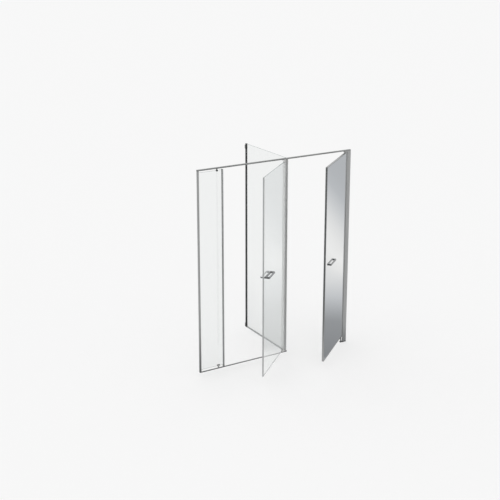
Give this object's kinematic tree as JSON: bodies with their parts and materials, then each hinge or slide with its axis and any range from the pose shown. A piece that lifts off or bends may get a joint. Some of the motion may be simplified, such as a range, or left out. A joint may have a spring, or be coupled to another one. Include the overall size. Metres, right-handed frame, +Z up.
{
  "type": "niche shower door",
  "caption": "Niche enclosure with a slim frame: fixed glass, hinged clear glass shower door, glass separator and hinged mirror door of a utility niche.",
  "frame": {"origin": "under the middle post's foot, on the shower tray, on the front plane's centre line", "axes": "+X right along the front as seen from the room, +Y into the niche, +Z up"},
  "size_m": [1.72, 1.2075, 2.05],
  "materials": {
    "satin_aluminium": "satin anodised",
    "dark_metal": "satin",
    "chrome": "polished",
    "clear_glass": "polished",
    "mirror": "polished",
    "white_board": "satin",
    "clear_seal": "translucent",
    "grey_seal": "matte",
    "black_rubber": "matte",
    "acetal": "satin"
  },
  "bodies": {
    "frame": {"left_wall_channel": "satin_aluminium", "fixed_glass_gasket": "black_rubber", "fixed_glass": "clear_glass", "closing_profile": "satin_aluminium", "closing_magnet_strip": "grey_seal", "fixed_clamp_bottom": "dark_metal", "fixed_clamp_pin_bottom": "dark_metal", "fixed_clamp_top": "dark_metal", "fixed_clamp_pin_top": "dark_metal", "top_rail_shower": "satin_aluminium", "top_rail_cabinet": "satin_aluminium", "mid_post_connector": "satin_aluminium", "threshold_rail": "satin_aluminium", "mid_post": "satin_aluminium", "mid_post_foot": "dark_metal", "separator_front_gasket": "black_rubber", "separator_glass": "clear_glass", "separator_rear_gasket": "black_rubber", "separator_wall_channel": "dark_metal", "separator_clip_bottom": "dark_metal", "separator_clip_top": "dark_metal", "separator_bottom_seal": "grey_seal", "cabinet_strike_seal": "clear_seal", "shower_pivot_block_top": "satin_aluminium", "shower_bush_top": "acetal", "shower_pivot_block_bottom": "satin_aluminium", "shower_bush_bottom": "acetal", "right_wall_channel": "satin_aluminium", "right_hinge_post": "satin_aluminium", "right_post_lip_seal": "grey_seal", "right_post_foot": "dark_metal", "cabinet_pivot_block_top": "dark_metal", "cabinet_bush_top": "acetal", "cabinet_pivot_post": "satin_aluminium"},
    "shower_door": {"shower_door_glass": "clear_glass", "shower_door_clamp_top": "satin_aluminium", "shower_door_pin_top": "chrome", "shower_door_clamp_bottom": "satin_aluminium", "shower_door_pin_bottom": "chrome", "shower_door_hinge_seal": "clear_seal", "shower_door_magnet_seal": "grey_seal", "shower_door_drip_seal": "clear_seal", "shower_handle_outer": "chrome", "shower_handle_inner": "chrome", "shower_handle_bolt_near": "chrome", "shower_handle_bolt_far": "chrome"},
    "cabinet_door": {"cabinet_stile_free": "satin_aluminium", "cabinet_stile_hinge": "satin_aluminium", "cabinet_rail_top": "satin_aluminium", "cabinet_rail_bottom": "satin_aluminium", "cabinet_mirror": "mirror", "cabinet_back_board": "white_board", "cabinet_pivot_plate_top": "dark_metal", "cabinet_pivot_plate_bottom": "dark_metal", "cabinet_bush_bottom": "acetal", "cabinet_handle": "chrome", "cabinet_handle_bolt_near": "chrome", "cabinet_handle_bolt_far": "chrome"}
  },
  "joints": [
    {"name": "shower_door_hinge", "type": "hinge", "parent": "frame", "child": "shower_door", "pos_m": [-0.0249, 0, 1], "axis": [0, 0, 1], "range_deg": [-41, 49]},
    {"name": "cabinet_door_hinge", "type": "hinge", "parent": "frame", "child": "cabinet_door", "pos_m": [0.69123, 0, 1], "axis": [0, 0, 1], "range_deg": [-39, 51]}
  ]
}
